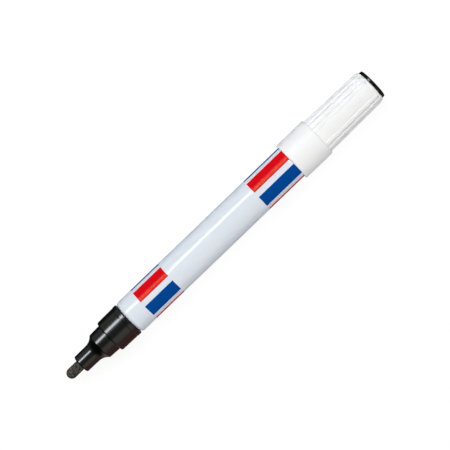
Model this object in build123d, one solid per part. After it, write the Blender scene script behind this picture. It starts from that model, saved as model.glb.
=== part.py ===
from build123d import *
import math
import os

# A valve-action paint marker lying on its side, with its cap posted on the tail.
# Lengths are in millimetres and angles in degrees. Every piece is drawn along X, from the nib's tip
# towards the cap, and is moved at the end so that the origin is the bottom centre of the marker's box.

# Nib: a rod of pressed felt that slides back against the valve when it is pushed
nib_diameter = 4.0
nib_length = 24.65
nib_travel = 1.8
nib_clearance = 0.08

# Nib holder: nose tube, flare and middle section, with a plug that sits in the collar
nose_length = 9.32
nose_wall = 1.38
nose_draft = 0.1
nose_round = 0.5
nose_bore_length = 10.5
flare_run = 1.8
flare_round = 4.6
middle_length = 4.83
middle_draft = 0.18
middle_round = 0.8
holder_plug_length = 6.2
holder_wall = 1.3
channel_width = 0.6
channel_depth = 0.35

# Collar: closes the barrel's mouth, with a raised bead at its rear and a spigot that snaps into the mouth
collar_length = 9.06
collar_step = 1.025
collar_draft = 0.1
collar_round = 0.5
groove_width = 0.25
groove_depth = 0.12
bead_length = 1.65
bead_rise = 0.1
bead_setback = 0.025
bead_round = 0.2
web_thickness = 1.0
spigot_length = 6.5
spigot_wall = 0.8
spigot_clearance = 0.05
snap_height = 0.2
snap_length = 0.9
snap_play = 0.02

# Barrel: a drawn can with a rolled-in lip at its mouth and a slight taper where the cap is posted
barrel_diameter = 13.4
barrel_length = 91.0
barrel_wall = 0.45
barrel_base = 0.7
shoulder_round = 1.25
lip_width = 0.5
base_round = 1.3
posting_taper = 0.15
posting_lead = 0.3
gasket_thickness = 0.3

# Valve: soft seat, plunger, spring and the windowed housing that holds them in the spigot
stem_diameter = 2.0
stop_room = 0.2
flow_gap = 0.5
seat_thickness = 1.6
head_thickness = 1.2
head_round = 0.2
pin_length = 5.5
spring_end_room = 2.2
spring_wire = 0.45
spring_turns = 7
spring_clearance = 0.05
housing_wall = 0.7
housing_end_wall = 0.8
housing_clearance = 0.02
housing_vent_diameter = 2.0
catch_rise = 0.15
catch_length = 0.8
catch_lead = 2.5
window_width = 2.2
window_frame = 0.5

# Mixing ball: loose in the paint
ball_diameter = 5.5
ball_clearance = 0.02
ball_stop_clearance = 0.3

# Cap: skirt over the barrel, ribbed upper part, sealing liner and end plug
posted_depth = 12.05
posting_gap = 0.35
cap_clearance = 0.06
skirt_wall = 0.965
skirt_overlap = 0.2
rim_round = 0.3
step_round = 0.25
upper_wall = 1.0
upper_draft = 0.37
cap_end_wall = 1.5
cap_end_round = 0.5
tip_room = 3.05
rib_height = 0.35
rib_meet_rise = 0.03
rib_groups = 2
ribs_per_group = 7
panel_angle = 39.0
panel_centre_angle = -9.5
liner_wall = 0.45
liner_end = 0.9
liner_clearance = 0.02
liner_room = 0.45
seal_clearance = 0.06
seal_overlap = 1.4
band_length = 2.2
cone_length = 1.8
cap_plug_thickness = 1.3
cap_plug_round = 0.5
cap_plug_stem_diameter = 5.0
cap_plug_clearance = 0.02

# One overrun serves all cuts
cut_overrun = 1.0

# The nib stands on the valve's stem, which leaves it room to be pushed in, and what the holder doesn't
# cover stands out of the nose
stem_reach = nib_travel + stop_room
nib_seat_depth = nose_length + middle_length + holder_plug_length - stem_reach
nib_reach = nib_length - nib_seat_depth

# Places along the axis, from the nib's tip
nose_front = nib_reach
middle_front = nose_front + nose_length
flare_corner = middle_front - flare_run
chamber_front = nose_front + nose_bore_length
collar_front = middle_front + middle_length
collar_rear = collar_front + collar_length
bead_front = collar_rear - bead_length
groove_front = bead_front - groove_width
web_front = collar_front + holder_plug_length
spigot_rear = collar_rear + spigot_length
seat_front = web_front + web_thickness
seat_rear = seat_front + seat_thickness
head_rear = seat_rear + head_thickness
pin_rear = head_rear + pin_length
housing_floor = pin_rear + nib_travel + spring_end_room
housing_rear = housing_floor + housing_end_wall
catch_front = seat_rear + catch_lead
catch_rear = catch_front + catch_length
barrel_front = collar_rear + gasket_thickness
snap_front = barrel_front + barrel_wall + snap_play
barrel_rear = barrel_front + barrel_length
barrel_floor = barrel_rear - barrel_base
cap_rim = barrel_rear - posted_depth
taper_front = cap_rim - posting_lead
cap_ledge = barrel_rear + posting_gap
cap_step = cap_ledge + skirt_overlap
liner_front = cap_ledge + middle_length - seal_overlap
liner_floor = cap_ledge + collar_front + tip_room
liner_rear = liner_floor + liner_end
cap_end = liner_rear + cap_end_wall
overall_length = cap_end + cap_plug_thickness

# Radii from the axis: the outside steps down from the barrel to the nose, and the fits follow it
barrel_radius = barrel_diameter / 2
barrel_inner_radius = barrel_radius - barrel_wall
tail_end_radius = barrel_radius - posting_taper
lip_outer_radius = barrel_radius - shoulder_round
mouth_radius = lip_outer_radius - lip_width
bead_radius = barrel_radius - bead_setback
collar_rear_radius = bead_radius - bead_rise
collar_front_radius = collar_rear_radius - collar_draft
groove_radius = collar_rear_radius - groove_depth
middle_rear_radius = collar_front_radius - collar_step
middle_front_radius = middle_rear_radius - middle_draft
nib_radius = nib_diameter / 2
nib_bore_radius = nib_radius + nib_clearance
nose_front_radius = nib_bore_radius + nose_wall
nose_rear_radius = nose_front_radius + nose_draft
chamber_radius = middle_rear_radius - holder_wall
socket_radius = middle_rear_radius + snap_play
spigot_radius = mouth_radius - spigot_clearance
snap_radius = mouth_radius + snap_height
valve_bore_radius = spigot_radius - spigot_wall
housing_radius = valve_bore_radius - housing_clearance
housing_inner_radius = housing_radius - housing_wall
catch_radius = housing_radius + catch_rise
catch_groove_radius = catch_radius + housing_clearance
stem_radius = stem_diameter / 2
seat_hole_radius = stem_radius + flow_gap
head_radius = (seat_hole_radius + housing_inner_radius) / 2
spring_radius = (stem_radius + housing_inner_radius) / 2
ball_radius = ball_diameter / 2
skirt_radius = barrel_radius + cap_clearance + skirt_wall
seal_radius = middle_front_radius + seal_clearance
band_radius = seal_radius + liner_wall
upper_bore_radius = band_radius + liner_clearance
upper_front_radius = upper_bore_radius + upper_wall
upper_rear_radius = upper_front_radius - upper_draft
liner_bore_radius = nose_rear_radius + liner_room
liner_radius = liner_bore_radius + liner_wall
cap_plug_radius = upper_rear_radius - cap_end_round
cap_plug_stem_radius = cap_plug_stem_diameter / 2
cap_plug_hole_radius = cap_plug_stem_radius + cap_plug_clearance

# Ribs of the cap: round bars that stand out of the wall, each meeting the next one just above the wall
group_angle = 360 / rib_groups
rib_pitch = (group_angle - panel_angle) / ribs_per_group
rib_meet_radius = upper_front_radius + rib_meet_rise
rib_half_width = rib_meet_radius * math.sin(math.radians(rib_pitch / 2))
rib_drop = upper_front_radius + rib_height - rib_meet_radius * math.cos(math.radians(rib_pitch / 2))
rib_radius = (rib_half_width**2 + rib_drop**2) / (2 * rib_drop)
rib_run_out = math.sqrt(rib_height * (2 * rib_radius - rib_height))
rib_rear = cap_end - cap_end_round
rib_ball = rib_rear - rib_run_out


def turned(*corners):
    """A solid turned about the axis. A corner is its place, its radius and how far it is rounded."""
    points = [(along, radius) for along, radius, rounding in corners]
    roundings = [rounding for along, radius, rounding in corners]
    outline = FilletPolyline(*points, radius=roundings, close=True)
    return revolve(Plane.XZ * make_face(outline), Axis.X)


def cross_cut(front, rear, width, radius):
    """Two slabs through the axis, square to each other, which cut four openings in a wall."""
    slab = Pos((front + rear) / 2, 0, 0) * Box(rear - front, width, 2 * radius)
    return slab + Rot(90, 0, 0) * slab


def tail_radius(along):
    """The barrel's tapered tail, as a line that the cap's bore follows too."""
    return barrel_radius - posting_taper * (along - taper_front) / (barrel_rear - taper_front)


def upper_radius(along):
    """The drafted wall of the cap's upper part, between its ribs."""
    return upper_front_radius - upper_draft * (along - cap_step) / (cap_end - cap_step)


def make_nib():
    rod_length = nib_length - nib_radius
    rod = Pos(nib_radius + rod_length / 2, 0, 0) * Rot(0, 90, 0) * Cylinder(nib_radius, rod_length)
    return rod + Pos(nib_radius, 0, 0) * Sphere(nib_radius)


def make_nib_holder():
    body = turned(
        (nose_front, nib_bore_radius, 0),
        (nose_front, nose_front_radius, nose_round),
        (flare_corner, nose_rear_radius, flare_round),
        (middle_front, middle_front_radius, middle_round),
        (collar_front, middle_rear_radius, 0),
        (web_front, middle_rear_radius, 0),
        (web_front, chamber_radius, 0),
        (chamber_front, chamber_radius, 0),
        (chamber_front, nib_bore_radius, 0),
    )
    channel_radius = nib_bore_radius + channel_depth
    channels = cross_cut(nose_front - cut_overrun, chamber_front, channel_width, channel_radius)
    return body - channels


def make_collar():
    return turned(
        (collar_front, socket_radius, 0),
        (collar_front, collar_front_radius, collar_round),
        (groove_front, collar_rear_radius, 0),
        (groove_front, groove_radius, 0),
        (bead_front, groove_radius, 0),
        (bead_front, bead_radius, bead_round),
        (collar_rear, bead_radius, bead_round),
        (collar_rear, spigot_radius, 0),
        (snap_front, spigot_radius, 0),
        (snap_front, snap_radius, 0),
        (snap_front + snap_length, spigot_radius, 0),
        (spigot_rear, spigot_radius, 0),
        (spigot_rear, valve_bore_radius, 0),
        (catch_rear + housing_clearance, valve_bore_radius, 0),
        (catch_rear + housing_clearance, catch_groove_radius, 0),
        (catch_front - housing_clearance, catch_groove_radius, 0),
        (catch_front - housing_clearance, valve_bore_radius, 0),
        (seat_front, valve_bore_radius, 0),
        (seat_front, seat_hole_radius, 0),
        (web_front, seat_hole_radius, 0),
        (web_front, socket_radius, 0),
    )


def make_mouth_gasket():
    return turned(
        (collar_rear, mouth_radius, 0),
        (collar_rear, lip_outer_radius, 0),
        (barrel_front, lip_outer_radius, 0),
        (barrel_front, mouth_radius, 0),
    )


def make_barrel():
    return turned(
        (barrel_front, mouth_radius, 0),
        (barrel_front, barrel_radius, shoulder_round),
        (taper_front, barrel_radius, 0),
        (barrel_rear, tail_end_radius, base_round),
        (barrel_rear, 0, 0),
        (barrel_floor, 0, 0),
        (barrel_floor, tail_end_radius - barrel_wall, base_round - barrel_wall),
        (taper_front, barrel_inner_radius, 0),
        (barrel_front + barrel_wall, barrel_inner_radius, shoulder_round - barrel_wall),
        (barrel_front + barrel_wall, mouth_radius, 0),
    )


def make_valve_seat():
    return turned(
        (seat_front, seat_hole_radius, 0),
        (seat_front, housing_radius, 0),
        (seat_rear, housing_radius, 0),
        (seat_rear, seat_hole_radius, 0),
    )


def make_valve_plunger():
    return turned(
        (nib_length, 0, 0),
        (nib_length, stem_radius, 0),
        (seat_rear, stem_radius, 0),
        (seat_rear, head_radius, head_round),
        (head_rear, head_radius, 0),
        (head_rear, stem_radius, 0),
        (pin_rear, stem_radius, head_round),
        (pin_rear, 0, 0),
    )


def make_valve_housing():
    cage = turned(
        (seat_rear, housing_inner_radius, 0),
        (seat_rear, housing_radius, 0),
        (catch_front, housing_radius, 0),
        (catch_front, catch_radius, 0),
        (catch_rear, catch_radius, 0),
        (catch_rear, housing_radius, 0),
        (housing_rear, housing_radius, 0),
        (housing_rear, housing_vent_diameter / 2, 0),
        (housing_floor, housing_vent_diameter / 2, 0),
        (housing_floor, housing_inner_radius, 0),
    )
    window_front = spigot_rear + window_frame
    window_rear = housing_floor - window_frame
    return cage - cross_cut(window_front, window_rear, window_width, housing_radius + cut_overrun)


def helix_point(turn):
    """Centre of the spring's wire after a number of turns, at a steady pitch between its two seats."""
    inset = spring_wire / 2 + spring_clearance
    front = head_rear + inset
    rear = housing_floor - inset
    angle = math.radians(360 * turn)
    along = front + (rear - front) * turn / spring_turns
    return Vector(along, spring_radius * math.cos(angle), spring_radius * math.sin(angle))


def helix_tangent(turn):
    """Unit direction of the wire there."""
    inset = spring_wire / 2 + spring_clearance
    climb = housing_floor - head_rear - 2 * inset
    angle = math.radians(360 * turn)
    around = 2 * math.pi * spring_radius * spring_turns
    return Vector(climb, -around * math.sin(angle), around * math.cos(angle)).normalized()


def biarc(start, leaving, end, arriving):
    """Two arcs that join two points in two given directions and share one direction where they meet."""
    chord = end - start
    both = leaving + arriving
    a = 4 - both.dot(both)
    b = 2 * chord.dot(both)
    reach = (math.sqrt(b * b + 4 * a * chord.dot(chord)) - b) / (2 * a)
    first = start + leaving * reach
    second = end - arriving * reach
    middle = (first + second) / 2
    return [
        Edge.make_tangent_arc(start, leaving, middle),
        Edge.make_tangent_arc(middle, second - first, end),
    ]


def least_gap(path):
    """Smallest space between neighbouring turns of the wire, measured on points along its centre."""
    per_turn = 48
    count = per_turn * spring_turns
    points = [path.position_at(i / count) for i in range(count + 1)]
    apart = per_turn // 2
    pairs = [(p, q) for i, p in enumerate(points) for q in points[i + apart:]]
    return min((p - q).length for p, q in pairs) - spring_wire


def make_valve_spring():
    quarters = [quarter / 4 for quarter in range(4 * spring_turns + 1)]
    arcs = []
    for turn, after in zip(quarters, quarters[1:]):
        arcs += biarc(helix_point(turn), helix_tangent(turn), helix_point(after), helix_tangent(after))
    path = Wire(arcs)
    print(f"least gap between the spring's turns {least_gap(path):.3f} mm")
    return sweep(Plane(helix_point(0), z_dir=helix_tangent(0)) * Circle(spring_wire / 2), path=path)


def make_mixing_ball():
    """The ball lies low in the can, halfway along its travel, and clears the tapered tail at its rear stop."""
    front_stop = housing_rear + ball_stop_clearance + ball_radius
    rear_stop = barrel_floor - ball_stop_clearance - ball_radius
    drop = tail_end_radius - barrel_wall - ball_clearance - ball_radius
    print(f"ball travel {(rear_stop - front_stop) / 2:.3f} mm each way")
    return Pos((front_stop + rear_stop) / 2, 0, -drop) * Sphere(ball_radius)


def rib_centre(along):
    """A point on the axis of the topmost rib, which follows the drafted wall."""
    return Vector(along, 0, upper_radius(along) + rib_height - rib_radius)


def make_cap_rib():
    """The topmost rib: a round bar with a ball end, of which only what is near the wall's surface is kept."""
    start = rib_centre(cap_step - cut_overrun)
    end = rib_centre(rib_ball)
    bar = extrude(Plane(start, z_dir=end - start) * Circle(rib_radius), (end - start).length)
    root_radius = (upper_bore_radius + upper_rear_radius) / 2
    kept = turned(
        (cap_step, root_radius, 0),
        (cap_step, skirt_radius, 0),
        (rib_rear, skirt_radius, 0),
        (rib_rear, root_radius, 0),
    )
    return (bar + Pos(end) * Sphere(rib_radius)) & kept


def make_cap_shell():
    wall = turned(
        (cap_rim, tail_radius(cap_rim) + cap_clearance, 0),
        (cap_rim, skirt_radius, rim_round),
        (cap_step, skirt_radius, step_round),
        (cap_step, upper_front_radius, 0),
        (cap_end, upper_rear_radius, cap_end_round),
        (cap_end, cap_plug_hole_radius, 0),
        (liner_rear, cap_plug_hole_radius, 0),
        (liner_rear, upper_bore_radius, 0),
        (cap_ledge, upper_bore_radius, 0),
        (cap_ledge, tail_radius(cap_ledge) + cap_clearance, 0),
    )
    first_rib = panel_centre_angle + (panel_angle + rib_pitch) / 2
    rib = make_cap_rib()
    ribs = [
        Rot(-first_rib - group * group_angle - place * rib_pitch, 0, 0) * rib
        for group in range(rib_groups)
        for place in range(ribs_per_group)
    ]
    return wall + ribs


def make_cap_liner():
    band_rear = liner_front + band_length
    cone_rear = band_rear + cone_length
    return turned(
        (liner_front, seal_radius, 0),
        (liner_front, band_radius, 0),
        (band_rear + liner_wall, band_radius, 0),
        (cone_rear + liner_wall, liner_radius, 0),
        (liner_rear, liner_radius, 0),
        (liner_rear, 0, 0),
        (liner_floor, 0, 0),
        (liner_floor, liner_bore_radius, 0),
        (cone_rear, liner_bore_radius, 0),
        (band_rear, seal_radius, 0),
    )


def make_cap_plug():
    return turned(
        (liner_rear, 0, 0),
        (liner_rear, cap_plug_stem_radius, 0),
        (cap_end, cap_plug_stem_radius, 0),
        (cap_end, cap_plug_radius, 0),
        (overall_length, cap_plug_radius, cap_plug_round),
        (overall_length, 0, 0),
    )


pieces = {
    "nib": make_nib(),
    "nib_holder": make_nib_holder(),
    "collar": make_collar(),
    "mouth_gasket": make_mouth_gasket(),
    "barrel": make_barrel(),
    "valve_seat": make_valve_seat(),
    "valve_plunger": make_valve_plunger(),
    "valve_housing": make_valve_housing(),
    "valve_spring": make_valve_spring(),
    "mixing_ball": make_mixing_ball(),
    "cap_shell": make_cap_shell(),
    "cap_liner": make_cap_liner(),
    "cap_plug": make_cap_plug(),
}

# Lay the marker down with the cap's skirt on the ground and its middle over the origin
laid_down = Pos(-overall_length / 2, 0, skirt_radius)
os.makedirs("parts", exist_ok=True)
for name, piece in pieces.items():
    export_step(laid_down * piece, f"parts/{name}.step")
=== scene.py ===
# %% [markdown]
# # A paint marker, dressed around its imported model
# The marker lies on its side with its cap posted on the tail. Its sizes, bodies and joints come from the
# imported model, and this lesson gives each piece its finished surface: a lacquered can with printed stripes,
# black mouldings, a felt nib and a ribbed white cap. Loading comes first, because every surface below is
# measured from the imported pieces.

# %% Load the imported model
import math

import bpy
import numpy as np
from mathutils import Matrix, Vector


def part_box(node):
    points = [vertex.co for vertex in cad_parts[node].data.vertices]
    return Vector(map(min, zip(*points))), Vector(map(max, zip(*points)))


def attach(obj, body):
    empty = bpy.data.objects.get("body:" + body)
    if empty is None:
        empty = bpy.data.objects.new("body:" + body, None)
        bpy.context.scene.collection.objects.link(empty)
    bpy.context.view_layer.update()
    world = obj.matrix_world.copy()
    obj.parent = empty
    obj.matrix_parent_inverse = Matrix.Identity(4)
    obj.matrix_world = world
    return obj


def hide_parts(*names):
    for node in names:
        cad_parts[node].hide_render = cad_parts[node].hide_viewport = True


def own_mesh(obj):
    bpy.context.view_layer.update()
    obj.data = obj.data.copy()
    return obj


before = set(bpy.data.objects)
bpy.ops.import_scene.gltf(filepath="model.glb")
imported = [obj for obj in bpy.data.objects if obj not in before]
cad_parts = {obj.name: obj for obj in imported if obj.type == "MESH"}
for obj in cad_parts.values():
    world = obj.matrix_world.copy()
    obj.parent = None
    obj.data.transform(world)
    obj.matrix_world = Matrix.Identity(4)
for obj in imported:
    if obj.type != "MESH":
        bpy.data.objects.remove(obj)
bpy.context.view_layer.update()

# %% [markdown]
# Nearly everything on a marker is turned about one long axis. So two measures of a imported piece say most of
# what is needed: where it starts and ends along the axis, and how far it reaches from the axis. Lengths that
# differ by less than the tolerance count as the same.

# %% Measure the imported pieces
MM = 0.001
TOLERANCE = 0.001 * MM


def span(node):
    """Front end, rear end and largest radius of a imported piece, in metres."""
    low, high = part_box(node)
    return low.x, high.x, (high.y - low.y) / 2


barrel_front, barrel_rear, barrel_radius = span("barrel")
cap_rim, cap_end, skirt_radius = span("cap_shell")
axis_z = sum(corner.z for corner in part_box("barrel")) / 2
print(f"barrel {(barrel_rear - barrel_front) / MM:.2f} mm long, axis {axis_z / MM:.3f} mm above the floor")

# %% [markdown]
# The photograph was taken from straight above with a long lens, and the marker lies across it from the lower
# left to the upper right. The camera could be aimed with a constraint, but three directions written out make
# the tilt of the picture plain: back towards the camera, up in the picture, and right in the picture.

# %% Camera
marker_tilt = math.radians(43.92)
camera_height = 665 * MM
camera_along = 15.38 * MM
aim_along = 2.53 * MM
aim_across = 0.2 * MM
sensor_mm = 36
lens_mm = 152

camera_data = bpy.data.cameras.new("camera")
camera_data.sensor_width = sensor_mm
camera_data.lens = lens_mm
camera = bpy.data.objects.new("camera", camera_data)
bpy.context.scene.collection.objects.link(camera)
stand = Vector((camera_along, 0, axis_z + camera_height))
aim = Vector((aim_along, aim_across, axis_z))
back = (stand - aim).normalized()
up = Vector((math.sin(marker_tilt), math.cos(marker_tilt), 0))
right = up.cross(back).normalized()
camera_turn = Matrix((right, back.cross(right), back)).transposed().to_4x4()
camera.matrix_world = Matrix.Translation(stand) @ camera_turn
bpy.context.scene.camera = camera
bpy.context.scene.view_settings.view_transform = "Standard"
print(f"camera {camera_height / MM:.0f} mm above the axis, lens {lens_mm} mm")

# %% [markdown]
# Every surface below ends the same way: its points and faces are whole arrays, and they go into a mesh in
# one call. A face has to look outwards. Rather than keep track of each array's turning sense, the signed
# volume of the finished shape says whether it came out inside out, and then every face is turned round at
# once.

# %% From arrays to a mesh object
SHARP_ANGLE = math.radians(32)


def signed_volume(points, faces):
    """Sum over the faces, each cut into triangles at its first corner, of a . (b x c) / 6."""
    a = points[faces[:, 0]]
    volume = 0.0
    for corner in range(1, faces.shape[1] - 1):
        b = points[faces[:, corner]]
        c = points[faces[:, corner + 1]]
        volume += np.einsum("ij,ij->i", a, np.cross(b, c)).sum() / 6
    return volume


def add_mesh(name, points, *face_arrays):
    """A smooth mesh object at the origin from its points and its arrays of faces.

    The faces of one array all have the same number of corners.
    """
    centred = points - points.mean(axis=0)
    volume = sum(signed_volume(centred, array) for array in face_arrays)
    if volume < 0:
        face_arrays = [array[:, ::-1] for array in face_arrays]
    faces = [face for array in face_arrays for face in array.tolist()]
    mesh = bpy.data.meshes.new(name)
    mesh.from_pydata(points.tolist(), [], faces)
    mesh.polygons.foreach_set("use_smooth", np.ones(len(faces), bool))
    mesh.set_sharp_from_angle(angle=SHARP_ANGLE)
    mesh.update()
    piece = bpy.data.objects.new(name, mesh)
    bpy.context.scene.collection.objects.link(piece)
    return piece


# %% [markdown]
# The stage is a pale sheet that runs flat under the marker and curves up all round it, as a photographer's
# sweep does. A plain plane would do for this picture, but from the side its edge would show as a horizon. The
# sheet glows, so that shadows on it wash out. It neither lights the marker nor shows in its reflections: on a
# bright table the black nose would get white edges, which the photograph doesn't have.

# %% Floor
floor_gap = 0.02 * MM
centre_reach = 1 * MM
flat_reach = 1.2
sweep_round = 0.6
sweep_steps = 24
sweep_sides = 96
paper_tone = (0.12, 0.12, 0.12, 1)
paper_roughness = 0.9
paper_glow = 0.9

sweep_turn = np.linspace(0, np.pi / 2, sweep_steps)
sweep_reach = np.concatenate([[centre_reach, flat_reach / 2], flat_reach + sweep_round * np.sin(sweep_turn)])
sweep_height = np.concatenate([[0, 0], sweep_round * (1 - np.cos(sweep_turn))]) - floor_gap
turn = np.linspace(0, 2 * np.pi, sweep_sides, endpoint=False)
floor_points = np.stack([
    np.outer(sweep_reach, np.cos(turn)),
    np.outer(sweep_reach, np.sin(turn)),
    np.outer(sweep_height, np.ones_like(turn)),
], axis=-1).reshape(-1, 3)
ring = np.arange(len(floor_points)).reshape(len(sweep_reach), sweep_sides)
after = np.roll(ring, -1, axis=1)
floor_quads = np.stack([ring[:-1], ring[1:], after[1:], after[:-1]], axis=-1).reshape(-1, 4)
floor = add_mesh("floor", floor_points, floor_quads, ring[:1])

paper = bpy.data.materials.new("pale_paper")
paper.use_nodes = True
paper_shader = paper.node_tree.nodes["Principled BSDF"]
paper_shader.inputs["Base Color"].default_value = paper_tone
paper_shader.inputs["Roughness"].default_value = paper_roughness
paper_shader.inputs["Emission Color"].default_value = (1, 1, 1, 1)
paper_shader.inputs["Emission Strength"].default_value = paper_glow
floor.data.materials.append(paper)
floor.visible_diffuse = False
floor.visible_glossy = False
floor.visible_shadow = False
print("floor reaches", flat_reach + sweep_round, "m")

# %% [markdown]
# The light is plain and soft. A large soft box hangs nearly overhead and shapes the white pieces, and a panel
# on the far side carries its light round. The near edge is filled by a low panel on that side and by a light
# table under the sheet. A long narrow strip on the far side makes the thin pale line that runs along every
# glossy piece. It only shows in reflections, so its line can be set without changing how bright the paint is,
# and the other lights stay out of reflections for the same reason.

# %% Soft box, panels, light table and strip
def soft_light(name, lean, distance, length, width, radiance, colour):
    """A rectangular light aimed at the marker, leaning from straight up towards +Y by so many degrees.

    Its power is radiance x area x pi.
    """
    data = bpy.data.lights.new(name, "AREA")
    data.shape = "RECTANGLE"
    data.size = length
    data.size_y = width
    data.energy = radiance * length * width * math.pi
    data.color = colour
    lamp = bpy.data.objects.new(name, data)
    bpy.context.scene.collection.objects.link(lamp)
    angle = math.radians(lean)
    lamp.location = (0, distance * math.sin(angle), axis_z + distance * math.cos(angle))
    lamp.rotation_euler = (-angle, 0, 0)
    print(f"{name}: {data.energy:.2f} W at {lean} degrees")
    return lamp


warm = (1, 0.975, 0.955)
pale_blue = (0.9, 0.95, 1)
cool = (0.88, 0.95, 1)
blue = (0.78, 0.88, 1)
for lamp in (
    soft_light("soft_box", lean=12, distance=0.9, length=0.9, width=0.6, radiance=3.7, colour=warm),
    soft_light("far_panel", lean=35, distance=0.9, length=0.6, width=0.4, radiance=3.85, colour=cool),
    soft_light("near_panel", lean=-74, distance=0.9, length=0.6, width=0.4, radiance=3.55, colour=warm),
    soft_light("light_table", lean=180, distance=0.3, length=8, width=8, radiance=0.84, colour=blue),
):
    lamp.visible_glossy = False
    lamp.visible_camera = False
strip = soft_light(
    "strip", lean=38, distance=0.6, length=0.5, width=0.16, radiance=14.5, colour=pale_blue
)
strip.visible_diffuse = False
strip.visible_camera = False

# %% [markdown]
# The rest of the room is what the glossy pieces reflect. It could be a picture of a real room, but a few
# tones are enough: from the near side over the top to the far side come a brown table edge, a pale window, a
# dark ceiling and grey walls. So one ramp over the direction's sideways part holds them all, and a second one
# dims them towards both ends of the marker. Below the horizon the ground is dark on the far side. On the near
# side it is brown, and paler towards the ends.

# %% Room
room_tones = (
    (-1.0, (0.54, 0.22, 0.20)),
    (-0.95, (0.54, 0.25, 0.22)),
    (-0.88, (0.66, 0.68, 0.60)),
    (-0.50, (0.92, 0.82, 0.70)),
    (-0.38, (0.20, 0.22, 0.19)),
    (0.10, (0.125, 0.175, 0.15)),
    (0.35, (0.33, 0.36, 0.31)),
    (1.0, (0.39, 0.43, 0.36)),
)
end_tones = ((0, (1, 1, 1)), (0.22, (1, 1, 1)), (0.7, (0.04, 0.04, 0.04)))
near_ground_tones = ((0.35, (0.22, 0.12, 0.105)), (0.65, (0.55, 0.46, 0.41)))
far_ground = (0.02, 0.035, 0.03, 1)
ground_from, ground_to = -0.3, 0.3
horizon_from, horizon_to = -0.4, -0.1

world = bpy.data.worlds.new("room")
bpy.context.scene.world = world
world.use_nodes = True
room = world.node_tree
direction = room.nodes.new("ShaderNodeTexCoord")
parts = room.nodes.new("ShaderNodeSeparateXYZ")
room.links.new(direction.outputs["Generated"], parts.inputs["Vector"])


def room_share(socket, low, high):
    """A share that goes from 0 to 1 while a part of the direction goes from low to high."""
    share = room.nodes.new("ShaderNodeMapRange")
    share.inputs["From Min"].default_value = low
    share.inputs["From Max"].default_value = high
    room.links.new(socket, share.inputs["Value"])
    return share.outputs["Result"]


def room_ramp(share, tones):
    """A colour ramp over a share, with each tone at its own place."""
    ramp = room.nodes.new("ShaderNodeValToRGB")
    while len(ramp.color_ramp.elements) < len(tones):
        ramp.color_ramp.elements.new(0.5)
    for element, (place, colour) in zip(ramp.color_ramp.elements, tones):
        element.position = place
        element.color = (*colour, 1)
    room.links.new(share, ramp.inputs["Fac"])
    return ramp.outputs["Color"]


def room_mix(share, first, second, blend="MIX"):
    """Two colours mixed by a share, or multiplied. Each of the three is a socket or an even value."""
    mix = room.nodes.new("ShaderNodeMix")
    mix.data_type = "RGBA"
    mix.blend_type = blend
    colours = [socket for socket in mix.inputs if socket.type == "RGBA"]
    for socket, value in zip((mix.inputs["Factor"], *colours), (share, first, second)):
        if isinstance(value, bpy.types.NodeSocket):
            room.links.new(value, socket)
        else:
            socket.default_value = value
    return next(socket for socket in mix.outputs if socket.type == "RGBA")


# %% Walls and ground
endways = room.nodes.new("ShaderNodeMath")
endways.operation = "ABSOLUTE"
room.links.new(parts.outputs["X"], endways.inputs[0])
endways_share = endways.outputs["Value"]
wall_tones = [((sideways + 1) / 2, tone) for sideways, tone in room_tones]
walls = room_ramp(room_share(parts.outputs["Y"], -1, 1), wall_tones)
dim_walls = room_mix(1, walls, room_ramp(endways_share, end_tones), blend="MULTIPLY")
near_ground = room_ramp(endways_share, near_ground_tones)
ground = room_mix(room_share(parts.outputs["Y"], ground_from, ground_to), near_ground, far_ground)
whole_room = room_mix(room_share(parts.outputs["Z"], horizon_from, horizon_to), ground, dim_walls)
room.links.new(whole_room, room.nodes["Background"].inputs["Color"])
world.cycles_visibility.diffuse = False
print("room tones", len(room_tones))

# %% [markdown]
# A turned piece is an outline carried round the axis. The outline is a chain of corners, each with its own
# rounding, because real mouldings and drawn cans have no sharp corners, and it is the roundings that catch
# the light. Blender's Spin and Bevel tools could do this, but the formula for an arc between two sides is
# short, and it keeps every rounding at its true size.

# %% Outline with rounded corners
ARC_STEPS = 10
RUN_STEP = 1.6 * MM


def corner_arc(before, here, beyond, rounding):
    """The arc that touches both sides of a corner.

    With half the corner's angle h, it starts and ends rounding / tan(h) from the corner, and its centre is
    rounding / sin(h) away along the bisector. Points on it turn evenly from its start to its end.
    """
    if rounding == 0:
        return here[None]
    back_side = (before - here) / np.linalg.norm(before - here)
    front_side = (beyond - here) / np.linalg.norm(beyond - here)
    half = math.acos(np.clip(back_side @ front_side, -1, 1)) / 2
    bisector = (back_side + front_side) / np.linalg.norm(back_side + front_side)
    centre = here + bisector * rounding / math.sin(half)
    start = here + back_side * rounding / math.tan(half) - centre
    end = here + front_side * rounding / math.tan(half) - centre
    sweep = math.pi - 2 * half
    share = np.linspace(0, 1, ARC_STEPS + 1)[:, None]
    return centre + (np.sin((1 - share) * sweep) * start + np.sin(share * sweep) * end) / math.sin(sweep)


def straight_run(start, end):
    """Points between the ends of a straight run, closer together near them, spaced by (1 - cos) / 2."""
    count = int(np.linalg.norm(end - start) / RUN_STEP)
    share = (1 - np.cos(np.pi * np.arange(1, count + 1) / (count + 1)))[:, None] / 2
    return start + (end - start) * share


def outline(*corners, closed=True):
    """All points of an outline given by corners (along, radius, rounding), as an array of (along, radius)."""
    places = np.array([corner[:2] for corner in corners])
    count = len(places)
    arcs = [
        corner_arc(places[k - 1], places[k], places[(k + 1) % count], corners[k][2])
        for k in range(count)
    ]
    stretches = []
    for k, arc in enumerate(arcs):
        stretches.append(arc)
        if closed or k + 1 < count:
            stretches.append(straight_run(arc[-1], arcs[(k + 1) % count][0]))
    return np.concatenate(stretches)


# %% Surface turned about the axis
TURN_STEPS = 256


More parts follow.
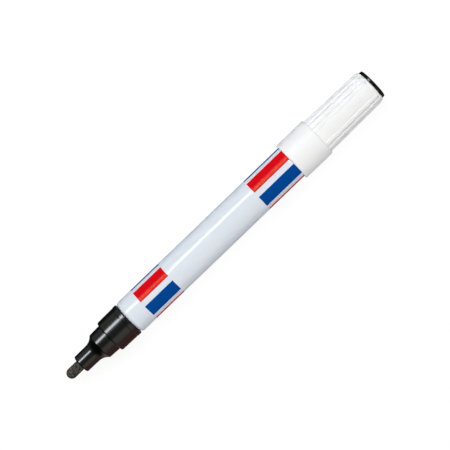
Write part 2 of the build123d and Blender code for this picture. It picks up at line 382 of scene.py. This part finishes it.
def carried_round(line, around, lift):
    """An outline carried round the axis: its points, and their numbers in rows, one for each ring.

    The outline's point (along, radius) at an angle a from straight up goes to x = along,
    y = (radius + lift) sin a, z = axis + (radius + lift) cos a. The lift may differ at every point.
    """
    angle = np.linspace(0, 2 * np.pi, around, endpoint=False)
    radius = line[:, 1:] + lift + 0 * angle
    points = np.stack([
        line[:, :1] + 0 * angle,
        radius * np.sin(angle),
        axis_z + radius * np.cos(angle),
    ], axis=-1).reshape(-1, 3)
    return points, np.arange(len(points)).reshape(len(line), around)


def turned(name, line, around=TURN_STEPS, lift=0.0):
    """A turned piece from a closed outline: each ring is joined to the next, and the last to the first."""
    points, ring = carried_round(line, around, lift)
    beside = np.roll(ring, -1, axis=1)
    behind = np.roll(ring, -1, axis=0)
    quads = np.stack([ring, beside, np.roll(beside, -1, axis=0), behind], axis=-1).reshape(-1, 4)
    return add_mesh(name, points, quads)


def turned_solid(name, line, around=TURN_STEPS, lift=0.0):
    """A turned piece whose outline starts and ends on the axis, in two poles with a fan of faces each."""
    rings, ring = carried_round(line[1:-1], around, lift)
    poles = np.array([[line[0, 0], 0, axis_z], [line[-1, 0], 0, axis_z]])
    points = np.concatenate([rings, poles])
    beside = np.roll(ring, -1, axis=1)
    quads = np.stack([ring[:-1], beside[:-1], beside[1:], ring[1:]], axis=-1).reshape(-1, 4)
    first = np.stack([np.full(around, len(rings)), beside[0], ring[0]], axis=-1)
    last = np.stack([np.full(around, len(rings) + 1), ring[-1], beside[-1]], axis=-1)
    return add_mesh(name, points, quads, first, last)


# %% [markdown]
# A finish is one Principled shader with its even values set on its own sockets, and a few patterns of the
# real grain size on top: a slight change of tone, a change of gloss, and a relief of a few thousandths of a
# millimetre or less, deeper only on the felt. Each could be built by hand in the Shader Editor, but all
# finishes need the same few nodes, so a small class adds them. The patterns read Object coordinates, which
# here are metres in the marker's own frame, so a grain of half a millimetre is half a millimetre on every
# piece.

# %% Helpers for finishes
MOTTLE_LOW = 0.3
MOTTLE_HIGH = 0.7


class Finish:
    """A material with one Principled shader, to which patterns are added.

    Even values are named for the shader's sockets, with underscores for spaces.
    """

    def __init__(self, name, colour, roughness, **even):
        self.material = bpy.data.materials.new(name)
        self.material.use_nodes = True
        self.tree = self.material.node_tree
        self.shader = self.tree.nodes["Principled BSDF"]
        self.shader.inputs["Base Color"].default_value = (*colour, 1)
        self.shader.inputs["Roughness"].default_value = roughness
        for socket, value in even.items():
            self.shader.inputs[socket.replace("_", " ")].default_value = value
        self.place = self.tree.nodes.new("ShaderNodeTexCoord").outputs["Object"]

    def grain(self, size, stretch=(1, 1, 1), detail=3.0):
        """Noise whose grains are about size metres across, longer along an axis by its stretch."""
        mapping = self.tree.nodes.new("ShaderNodeMapping")
        mapping.inputs["Scale"].default_value = [1 / part for part in stretch]
        self.tree.links.new(self.place, mapping.inputs["Vector"])
        noise = self.tree.nodes.new("ShaderNodeTexNoise")
        noise.inputs["Scale"].default_value = 1 / size
        noise.inputs["Detail"].default_value = detail
        self.tree.links.new(mapping.outputs["Vector"], noise.inputs["Vector"])
        return noise.outputs["Fac"]

    def ramp(self, fac, low, high):
        """The pattern's range from low to high, stretched to 0..1."""
        spread = self.tree.nodes.new("ShaderNodeMapRange")
        spread.inputs["From Min"].default_value = low
        spread.inputs["From Max"].default_value = high
        self.tree.links.new(fac, spread.inputs["Value"])
        return spread.outputs["Result"]

    def tone(self, fac, dark, light):
        """Base colour that goes from dark to light with a pattern."""
        mix = self.tree.nodes.new("ShaderNodeMix")
        mix.data_type = "RGBA"
        self.tree.links.new(fac, mix.inputs["Factor"])
        ends = [socket for socket in mix.inputs if socket.type == "RGBA"]
        ends[0].default_value = (*dark, 1)
        ends[1].default_value = (*light, 1)
        out = next(socket for socket in mix.outputs if socket.type == "RGBA")
        self.tree.links.new(out, self.shader.inputs["Base Color"])

    def mottle(self, size, dark, light):
        """Base colour that drifts from dark to light in patches about size metres across."""
        self.tone(self.ramp(self.grain(size), MOTTLE_LOW, MOTTLE_HIGH), dark, light)

    def gloss(self, fac, low, high):
        """Roughness between two values with a pattern."""
        spread = self.tree.nodes.new("ShaderNodeMapRange")
        spread.inputs["To Min"].default_value = low
        spread.inputs["To Max"].default_value = high
        self.tree.links.new(fac, spread.inputs["Value"])
        self.tree.links.new(spread.outputs["Result"], self.shader.inputs["Roughness"])

    def relief(self, fac, depth):
        """A bump of that depth in metres."""
        bump = self.tree.nodes.new("ShaderNodeBump")
        bump.inputs["Distance"].default_value = depth
        self.tree.links.new(fac, bump.inputs["Height"])
        self.tree.links.new(bump.outputs["Normal"], self.shader.inputs["Normal"])


def dress(piece, finish, body, node=None):
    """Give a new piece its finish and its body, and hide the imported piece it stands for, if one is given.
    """
    piece.data.materials.append(finish.material)
    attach(piece, body)
    if node:
        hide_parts(node)
    print(f"{piece.name}: {len(piece.data.polygons)} faces on body {body}")
    return piece


# %% [markdown]
# The barrel is a can drawn from one sheet of aluminium: its tail is closed, and its mouth is rolled in to a
# lip that the collar snaps behind. A Solidify modifier could give a thin can its wall, but here the outline
# goes along the outside, round the lip and back along the inside, so wall, lip and base have their real
# sizes. The can is lacquered in a cold white. Lacquer on metal is never quite even, so the finish has a faint
# orange peel, and its gloss changes softly in streaks along the can.

# %% Lacquer
LACQUER_STREAKS = (12, 1, 1)


def white_lacquer():
    finish = Finish("white_lacquer", (0.79, 0.84, 0.905), roughness=0.15, Specular_IOR_Level=0.23)
    finish.mottle(9 * MM, dark=(0.78, 0.83, 0.895), light=(0.80, 0.85, 0.915))
    finish.gloss(finish.grain(0.9 * MM, stretch=LACQUER_STREAKS), low=0.12, high=0.18)
    finish.relief(finish.grain(1.1 * MM, detail=1.0), depth=0.004 * MM)
    return finish


# %% Barrel
barrel_wall = 0.45 * MM
barrel_base = 0.7 * MM
shoulder_round = 1.25 * MM
lip_width = 0.5 * MM
lip_edge = 0.12 * MM
base_round = 1.3 * MM
posting_taper = 0.15 * MM
posting_lead = 0.3 * MM

taper_front = cap_rim - posting_lead
mouth_radius = barrel_radius - shoulder_round - lip_width


def wall_radius(along):
    """The barrel's outer radius: even up to where the cap is posted, then a straight slight taper."""
    share = np.clip((along - taper_front) / (barrel_rear - taper_front), 0, 1)
    return barrel_radius - posting_taper * share


barrel_line = outline(
    (barrel_rear, 0, 0),
    (barrel_rear, wall_radius(barrel_rear), base_round),
    (taper_front, barrel_radius, 0),
    (barrel_front, barrel_radius, shoulder_round),
    (barrel_front, mouth_radius, lip_edge),
    (barrel_front + barrel_wall, mouth_radius, lip_edge),
    (barrel_front + barrel_wall, barrel_radius - barrel_wall, shoulder_round - barrel_wall),
    (taper_front, barrel_radius - barrel_wall, 0),
    (barrel_rear - barrel_base, wall_radius(barrel_rear) - barrel_wall, base_round - barrel_wall),
    (barrel_rear - barrel_base, 0, 0),
    closed=False,
)
barrel = turned_solid("lacquered_barrel", barrel_line)
dress(barrel, white_lacquer(), "barrel", node="barrel")

# %% [markdown]
# Two groups of broad stripes, red and blue by turns, are printed on the lacquer. They could be painted by the
# barrel's own shader, but a print is a film of ink with an edge, so each stripe is a thin closed film laid on
# the wall. A film is a flat grid wrapped round the can: one direction runs along the barrel and the other
# round it.

# %% Printed film
INK_THICKNESS = 0.014 * MM
INK_SINK = 0.01 * MM


def film(name, along, girth):
    """A closed film on the barrel from a flat grid.

    A flat point (along, girth) goes to the angle girth / radius from straight up. The upper sheet lies the
    ink's thickness above the wall, the lower sheet just inside it, and a band of quads closes the rim between
    them.
    """
    wall = wall_radius(along)
    angle = girth / barrel_radius
    sheets = [
        np.stack([along, radius * np.sin(angle), axis_z + radius * np.cos(angle)], axis=-1).reshape(-1, 3)
        for radius in (wall + INK_THICKNESS, wall - INK_SINK)
    ]
    rows, columns = along.shape
    upper = np.arange(rows * columns).reshape(rows, columns)
    top = np.stack([upper[:-1, :-1], upper[:-1, 1:], upper[1:, 1:], upper[1:, :-1]], axis=-1).reshape(-1, 4)
    bottom = top[:, ::-1] + rows * columns
    rim = np.concatenate([upper[0, :-1], upper[:-1, -1], upper[-1, :0:-1], upper[:0:-1, 0]])
    rim_after = np.roll(rim, -1)
    band = np.stack([rim_after, rim, rim + rows * columns, rim_after + rows * columns], axis=-1)
    return add_mesh(name, np.concatenate(sheets), top, bottom, band)


def printed_ink(name, dark, light, shine):
    finish = Finish(name, light, roughness=0.18, Specular_IOR_Level=0.085, Specular_Tint=(*shine, 1))
    finish.mottle(0.5 * MM, dark, light)
    finish.gloss(finish.grain(0.9 * MM, stretch=LACQUER_STREAKS), low=0.15, high=0.22)
    finish.relief(finish.grain(0.35 * MM), depth=0.002 * MM)
    return finish


# %% Stripes
stripe_count = 6
stripe_angle = math.radians(42)
first_stripe = math.radians(30.7)
front_stripes_from = 7.34 * MM
front_stripes_to = 20.6 * MM
rear_stripes_from = 62.13 * MM
rear_margin = 0.5 * MM
stripe_rows = 16
stripe_columns = 29

front_stripes = (barrel_front + front_stripes_from, barrel_front + front_stripes_to)
rear_stripes = (barrel_front + rear_stripes_from, barrel_rear - base_round - rear_margin)
red_ink = printed_ink("red_ink", (0.74, 0.0004, 0.008), (0.80, 0.0008, 0.010), shine=(1, 0.9, 0.45))
blue_ink = printed_ink("blue_ink", (0.0002, 0.060, 0.30), (0.0003, 0.068, 0.33), shine=(0.1, 0.6, 1))
for group, (start, end) in (("front", front_stripes), ("rear", rear_stripes)):
    along = np.linspace(start, end, stripe_rows)
    for k in range(stripe_count):
        middle = first_stripe + k * 2 * np.pi / stripe_count
        angle = np.linspace(middle - stripe_angle / 2, middle + stripe_angle / 2, stripe_columns)
        along_grid, girth_grid = np.meshgrid(along, barrel_radius * angle, indexing="ij")
        stripe = film(f"stripe_{group}_{k + 1}", along_grid, girth_grid)
        dress(stripe, blue_ink if k % 2 else red_ink, "barrel")

# %% [markdown]
# The collar closes the can's mouth. Its rear end has a raised bead behind a fine groove, and its socket takes
# the nib holder. Cutting these with Booleans would take one for each, while one outline holds them all. Both
# pieces are moulded in black plastic, glossy but not polished: the relief is the fine texture that a mould
# leaves, and the gloss changes a little where the plastic flowed.

# %% Black moulding
def black_moulding():
    finish = Finish("black_moulding", (0.001, 0.001, 0.0009), roughness=0.2, Specular_IOR_Level=0.6)
    finish.mottle(2.5 * MM, dark=(0.0006, 0.0006, 0.0005), light=(0.0016, 0.0015, 0.0014))
    finish.gloss(finish.grain(0.8 * MM, stretch=(6, 1, 1)), low=0.19, high=0.22)
    finish.relief(finish.grain(0.4 * MM), depth=0.0001 * MM)
    return finish


# %% Collar
collar_front, spigot_rear, bead_radius = span("collar")
collar_rear, gasket_rear, lip_radius = span("mouth_gasket")
nose_front, web_front, holder_radius = span("nib_holder")
bead_length = 1.65 * MM
bead_rise = 0.1 * MM
bead_round = 0.2 * MM
groove_width = 0.25 * MM
groove_depth = 0.12 * MM
collar_draft = 0.1 * MM
collar_round = 0.5 * MM
web_thickness = 1.0 * MM
flow_hole = 1.5 * MM
spigot_wall = 0.8 * MM
spigot_clearance = 0.05 * MM
snap_height = 0.2 * MM
snap_length = 0.9 * MM
snap_play = 0.02 * MM
edge_break = 0.06 * MM

collar_radius = bead_radius - bead_rise
bead_front = collar_rear - bead_length
groove_front = bead_front - groove_width
spigot_radius = mouth_radius - spigot_clearance
snap_front = barrel_front + barrel_wall + snap_play
collar_line = outline(
    (collar_front, holder_radius + snap_play, edge_break),
    (collar_front, collar_radius - collar_draft, collar_round),
    (groove_front, collar_radius, edge_break),
    (groove_front, collar_radius - groove_depth, 0),
    (bead_front, collar_radius - groove_depth, 0),
    (bead_front, bead_radius, bead_round),
    (collar_rear, bead_radius, bead_round),
    (collar_rear, spigot_radius, 0),
    (snap_front, spigot_radius, 0),
    (snap_front, mouth_radius + snap_height, edge_break),
    (snap_front + snap_length, spigot_radius, 0),
    (spigot_rear, spigot_radius, edge_break),
    (spigot_rear, spigot_radius - spigot_wall, edge_break),
    (web_front + web_thickness, spigot_radius - spigot_wall, 0),
    (web_front + web_thickness, flow_hole, 0),
    (web_front, flow_hole, 0),
    (web_front, holder_radius + snap_play, 0),
)
moulding = black_moulding()
dress(turned("moulded_collar", collar_line), moulding, "barrel", node="collar")

# %% [markdown]
# The nib holder is the nose of the marker: a slim tube for the nib, a flare, and a thicker middle that plugs
# into the collar. Four fine channels run along the bore and let paint reach the nib. They could be cut out of
# the finished tube, but they are a lift of the bore's surface that depends on the angle alone, so the same
# turned surface carries them.

# %% Nib holder
nib_front, nib_rear, nib_radius = span("nib")
nib_clearance = 0.08 * MM
nose_length = 9.32 * MM
nose_wall = 1.38 * MM
nose_draft = 0.1 * MM
nose_round = 0.5 * MM
flare_run = 1.8 * MM
flare_round = 4.6 * MM
middle_draft = 0.18 * MM
middle_round = 0.8 * MM
holder_wall = 1.3 * MM
bore_length = 10.5 * MM
bore_edge = 0.1 * MM
channel_count = 4
channel_width = 0.6 * MM
channel_depth = 0.35 * MM
channel_slope = 0.1 * MM
holder_turn_steps = 384

bore_radius = nib_radius + nib_clearance
nose_radius = bore_radius + nose_wall
middle_front = nose_front + nose_length
bore_rear = nose_front + bore_length
holder_line = outline(
    (nose_front, bore_radius, bore_edge),
    (nose_front, nose_radius, nose_round),
    (middle_front - flare_run, nose_radius + nose_draft, flare_round),
    (middle_front, holder_radius - middle_draft, middle_round),
    (collar_front, holder_radius, 0),
    (web_front, holder_radius, edge_break),
    (web_front, holder_radius - holder_wall, edge_break),
    (bore_rear, holder_radius - holder_wall, 0),
    (bore_rear, bore_radius, 0),
)


def bore_channels(line, around):
    """Lift that deepens the bore at even angles.

    It is the channel's depth where the arc to the nearest channel's middle is under half its width, and it
    runs out over the width of the slope.
    """
    angle = np.linspace(0, 2 * np.pi, around, endpoint=False)
    pitch = 2 * np.pi / channel_count
    off_centre = np.abs((angle + pitch / 2) % pitch - pitch / 2) * bore_radius
    across = np.clip((channel_width / 2 + channel_slope / 2 - off_centre) / channel_slope, 0, 1)
    in_bore = line[:, 1] < bore_radius + bore_edge + TOLERANCE
    return channel_depth * np.outer(in_bore, across)


channels = bore_channels(holder_line, holder_turn_steps)
holder = turned("moulded_nose", holder_line, holder_turn_steps, channels)
dress(holder, moulding, "barrel", node="nib_holder")

# %% [markdown]
# The nib is a rod of pressed felt with a round end. Felt is a mass of short fibres, so its surface is never
# smooth: seeded noise, blurred until its lumps are a few tenths of a millimetre wide, presses the surface in
# here and there. A Displace modifier could do this too, but with arrays it is plain that the noise only goes
# inwards, so the rod keeps its real size and its place in the bore.

# %% Felt
def blurred_noise(rows, columns, passes, seed):
    """Normal noise averaged with its neighbours so many times, then scaled to 0..1. Columns wrap round."""
    noise = np.random.default_rng(seed).standard_normal((rows, columns))
    for _ in range(passes):
        noise = (noise + np.roll(noise, 1, 1) + np.roll(noise, -1, 1)) / 3
        edge = np.pad(noise, ((1, 1), (0, 0)), mode="edge")
        noise = (edge[:-2] + edge[1:-1] + edge[2:]) / 3
    return (noise - noise.min()) / (noise.max() - noise.min())


def nib_felt():
    finish = Finish("nib_felt", (0.05, 0.046, 0.04), roughness=0.85, Specular_IOR_Level=0.25)
    fibres = finish.ramp(finish.grain(0.55 * MM, detail=5.0), low=0.43, high=0.62)
    finish.tone(fibres, dark=(0.008, 0.0065, 0.005), light=(0.12, 0.107, 0.09))
    finish.gloss(fibres, low=0.7, high=0.95)
    finish.relief(finish.grain(0.3 * MM, detail=6.0), depth=0.06 * MM)
    return finish


# %% Nib
felt_dent = 0.04 * MM
felt_blurs = 3
felt_seed = 11
tip_steps = 22
rod_steps = 110
nib_turn_steps = 144

tip_turn = np.linspace(0, 1, tip_steps)[:, None] * np.pi / 2
tip_arc = np.hstack([nib_front + nib_radius * (1 - np.cos(tip_turn)), nib_radius * np.sin(tip_turn)])
rod_along = np.linspace(nib_front + nib_radius, nib_rear, rod_steps)[1:]
rod = np.stack([rod_along, np.full_like(rod_along, nib_radius)], axis=1)
nib_line = np.concatenate([tip_arc, rod, [[nib_rear, 0]]])
dents = -felt_dent * blurred_noise(len(nib_line) - 2, nib_turn_steps, felt_blurs, felt_seed)
dents *= np.minimum(nib_line[1:-1, 1:] / nib_radius, 1)
nib = turned_solid("felt_nib", nib_line, nib_turn_steps, dents)
dress(nib, nib_felt(), "nib", node="nib")

# %% [markdown]
# A thin rubber ring seals the collar against the can's lip. Only its edge shows, as the dark line at the
# front of the barrel. A torus would do for a loose ring, but this one is pressed flat between two faces and
# bulges a little outwards, so it is a turned outline with rounded outer corners.

# %% Rubber ring
def black_rubber():
    finish = Finish("black_rubber", (0.012, 0.012, 0.012), roughness=0.7, Specular_IOR_Level=0.3)
    finish.tone(finish.grain(0.6 * MM), dark=(0.008, 0.008, 0.008), light=(0.018, 0.018, 0.018))
    finish.relief(finish.grain(0.2 * MM), depth=0.004 * MM)
    return finish


ring_round = 0.1 * MM
ring_line = outline(
    (collar_rear, mouth_radius, 0),
    (collar_rear, lip_radius, ring_round),
    (gasket_rear, lip_radius, ring_round),
    (gasket_rear, mouth_radius, 0),
)
dress(turned("rubber_ring", ring_line), black_rubber(), "barrel", node="mouth_gasket")

# %% [markdown]
# The cap has a plain skirt that slides over the barrel and a slimmer upper part with two groups of soft ribs,
# with a smooth panel between the groups. The ribs could be fourteen added bars, but they are moulded in one
# with the wall, so they are a lift of the turned surface: at each angle it is how far the back of a round
# bar, sunk in the wall, stands out there. Each bar meets the next in a fine groove and ends in a ball before
# the rounded end.

# %% Cap plastic
def white_cap():
    finish = Finish("white_cap", (0.955, 0.955, 0.955), roughness=0.4, Specular_IOR_Level=0.25)
    finish.mottle(6 * MM, dark=(0.95, 0.95, 0.95), light=(0.962, 0.962, 0.962))
    finish.gloss(finish.grain(1.2 * MM), low=0.35, high=0.45)
    finish.relief(finish.grain(0.3 * MM), depth=0.001 * MM)
    return finish


# %% Outline of the cap
plug_front, plug_end, plug_radius = span("cap_plug")
band_radius = span("cap_liner")[2]
cap_clearance = 0.06 * MM
posting_gap = 0.35 * MM
skirt_overlap = 0.2 * MM
rim_round = 0.3 * MM
step_round = 0.25 * MM
upper_wall = 1.0 * MM
upper_draft = 0.37 * MM
end_round = 0.5 * MM
liner_clearance = 0.02 * MM
plug_stem = 2.5 * MM

cap_ledge = barrel_rear + posting_gap
cap_step = cap_ledge + skirt_overlap
upper_bore = band_radius + liner_clearance
upper_front_radius = upper_bore + upper_wall
upper_rear_radius = upper_front_radius - upper_draft
cap_line = outline(
    (cap_rim, wall_radius(cap_rim) + cap_clearance, edge_break),
    (cap_rim, skirt_radius, rim_round),
    (cap_step, skirt_radius, step_round),
    (cap_step, upper_front_radius, 0),
    (cap_end, upper_rear_radius, end_round),
    (cap_end, plug_stem + liner_clearance, 0),
    (plug_front, plug_stem + liner_clearance, 0),
    (plug_front, upper_bore, 0),
    (cap_ledge, upper_bore, 0),
    (cap_ledge, wall_radius(cap_ledge) + cap_clearance, 0),
)
print(f"cap's upper part: {(cap_end - cap_step) / MM:.2f} mm long")

# %% Ribbed cap
rib_groups = 2
ribs_per_group = 7
panel_angle = math.radians(39)
panel_centre = math.radians(-9.5)
rib_height = 0.35 * MM
rib_sink = 0.05 * MM
cap_turn_steps = 720


def wall_at(along):
    """Radius of the cap's drafted upper wall."""
    return upper_front_radius - upper_draft * (along - cap_step) / (cap_end - cap_step)


def rib_lift(line, around):
    """Height of the ribs over the cap's upper wall.

    A rib is a round bar with a ball end. With its axis at the radius c and its own radius b, its surface lies
    at c cos a + sqrt(b^2 - c^2 sin^2 a) for the angle a to the rib's middle. Past the start of the ball end,
    b^2 loses the square of the distance from there. The bar's radius makes neighbours meet a little below the
    wall, in a groove that runs out over the length of the ball end.
    """
    group_angle = 2 * np.pi / rib_groups
    pitch = (group_angle - panel_angle) / ribs_per_group
    meet = upper_front_radius - rib_sink
    drop = upper_front_radius + rib_height - meet * math.cos(pitch / 2)
    bar = ((meet * math.sin(pitch / 2)) ** 2 + drop**2) / (2 * drop)
    ball_end = cap_end - end_round
    ball_start = ball_end - math.sqrt(rib_height * (2 * bar - rib_height))

    in_group = panel_centre + (panel_angle + pitch) / 2 + pitch * np.arange(ribs_per_group)
    ribs = (in_group + group_angle * np.arange(rib_groups)[:, None]).reshape(-1, 1)
    angle = np.linspace(0, 2 * np.pi, around, endpoint=False)
    off_rib = np.abs((angle - ribs + np.pi) % (2 * np.pi) - np.pi).min(axis=0)

    along = line[:, :1]
    wall = wall_at(along)
    middle = wall + rib_height - bar
    inside = bar**2 - np.maximum(along - ball_start, 0) ** 2 - (middle * np.sin(off_rib)) ** 2
    surface = middle * np.cos(off_rib) + np.sqrt(np.maximum(inside, 0))
    valley = -rib_sink * np.clip((ball_end - along) / (ball_end - ball_start), 0, 1)
    lift = np.where(inside > 0, np.maximum(surface - wall, valley), valley) * (off_rib <= pitch / 2)
    on_wall = np.abs(line[:, 1:] - wall) < TOLERANCE
    return lift * (on_wall & (along >= cap_step - TOLERANCE) & (along <= ball_end))


cap = turned("ribbed_cap", cap_line, cap_turn_steps, rib_lift(cap_line, cap_turn_steps))
dress(cap, white_cap(), "cap", node="cap_shell")

# %% [markdown]
# A black plug closes the cap and shows the paint's colour. It could be two cylinders with a bevel, but one
# outline gives both its stem, which sits in the cap's end wall, and its well-rounded rim, which shows as a
# dark band with one bright spot.

# %% End plug
def satin_plug():
    finish = Finish("black_plug", (0.0015, 0.0015, 0.0014), roughness=0.19, Specular_IOR_Level=0.28)
    finish.mottle(2.5 * MM, dark=(0.001, 0.001, 0.0009), light=(0.002, 0.0019, 0.0018))
    finish.gloss(finish.grain(0.8 * MM), low=0.17, high=0.21)
    finish.relief(finish.grain(0.25 * MM), depth=0.0002 * MM)
    return finish


plug_round = 0.5 * MM
plug_line = outline(
    (plug_front, 0, 0),
    (plug_front, plug_stem, 0),
    (cap_end, plug_stem, 0),
    (cap_end, plug_radius, edge_break),
    (plug_end, plug_radius, plug_round),
    (plug_end, 0, 0),
    closed=False,
)
plug = turned_solid("end_plug", plug_line)
dress(plug, satin_plug(), "cap", node="cap_plug")

# %% [markdown]
# Inside, a coil spring pushes the valve shut and the nib out. A spring is a round wire carried along a helix.
# Blender's Screw modifier could wind it, but it would keep the wire's circle in line with the axis, and here
# the circle stands square to the helix at every point.

# %% Spring wire
def carried_wire(name, centre, radius, sides=16):
    """A wire along a path, with a circle square to the path's direction at each point, and closed ends.

    Two directions span each circle: one from the marker's axis outwards, made square to the path, and the
    path's direction crossed with it.
    """
    heading = np.gradient(centre, axis=0)
    heading /= np.linalg.norm(heading, axis=1, keepdims=True)
    outward = centre * (0, 1, 1) - (0, 0, axis_z)
    outward -= heading * np.einsum("ij,ij->i", heading, outward)[:, None]
    outward /= np.linalg.norm(outward, axis=1, keepdims=True)
    sideways = np.cross(heading, outward)
    angle = np.linspace(0, 2 * np.pi, sides, endpoint=False)[None, :, None]
    circle = radius * (np.cos(angle) * outward[:, None] + np.sin(angle) * sideways[:, None])
    points = (centre[:, None] + circle).reshape(-1, 3)
    ring = np.arange(len(points)).reshape(len(centre), sides)
    beside = np.roll(ring, -1, axis=1)
    quads = np.stack([ring[:-1], ring[1:], beside[1:], beside[:-1]], axis=-1).reshape(-1, 4)
    return add_mesh(name, points, quads, ring[:1], ring[-1:, ::-1])


def spring_steel():
    finish = Finish("spring_steel", (0.62, 0.62, 0.62), roughness=0.3, Metallic=1.0)
    finish.tone(finish.grain(0.2 * MM), dark=(0.52, 0.52, 0.52), light=(0.68, 0.68, 0.67))
    finish.gloss(finish.grain(0.15 * MM), low=0.22, high=0.4)
    return finish


# %% Valve spring
spring_front, spring_rear, spring_reach = span("valve_spring")
wire_radius = 0.225 * MM
spring_turns = 7
steps_per_turn = 56

turns = np.linspace(0, spring_turns, steps_per_turn * spring_turns + 1)
coil_radius = spring_reach - wire_radius
spring_path = np.stack([
    np.linspace(spring_front + wire_radius, spring_rear - wire_radius, len(turns)),
    coil_radius * np.cos(2 * np.pi * turns),
    axis_z + coil_radius * np.sin(2 * np.pi * turns),
], axis=-1)
spring = carried_wire("wound_spring", spring_path, wire_radius)
dress(spring, spring_steel(), "barrel", node="valve_spring")
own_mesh(spring)

# %% [markdown]
# The other inner pieces are plain turned or windowed parts. They could be made again as finer surfaces, but
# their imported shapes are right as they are. They only need finishes: natural plastic for the valve and the
# cap's liner, grey rubber for the seat, and polished steel for the ball that stirs the paint.

# %% Finishes of the inner pieces
def natural_plastic(name, dark, light):
    finish = Finish(name, light, roughness=0.4)
    finish.mottle(3 * MM, dark, light)
    finish.gloss(finish.grain(0.8 * MM), low=0.34, high=0.5)
    finish.relief(finish.grain(0.25 * MM), depth=0.003 * MM)
    return finish


def seat_rubber():
    finish = Finish("seat_rubber", (0.12, 0.12, 0.12), roughness=0.75, Specular_IOR_Level=0.3)
    finish.tone(finish.grain(0.5 * MM), dark=(0.09, 0.09, 0.09), light=(0.15, 0.15, 0.15))
    finish.relief(finish.grain(0.15 * MM), depth=0.004 * MM)
    return finish


def ball_steel():
    finish = Finish("ball_steel", (0.7, 0.7, 0.71), roughness=0.12, Metallic=1.0)
    finish.tone(finish.grain(0.9 * MM), dark=(0.64, 0.64, 0.65), light=(0.74, 0.74, 0.75))
    finish.gloss(finish.grain(0.4 * MM), low=0.08, high=0.2)
    return finish


valve_plastic = natural_plastic("valve_plastic", dark=(0.78, 0.78, 0.74), light=(0.84, 0.84, 0.80))
inner_finishes = {
    "valve_housing": valve_plastic,
    "valve_plunger": valve_plastic,
    "valve_seat": seat_rubber(),
    "mixing_ball": ball_steel(),
    "cap_liner": natural_plastic("liner_plastic", dark=(0.84, 0.84, 0.82), light=(0.89, 0.89, 0.87)),
}
for node, finish in inner_finishes.items():
    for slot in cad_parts[node].material_slots:
        slot.material = finish.material
    print(node, "wears", finish.material.name)
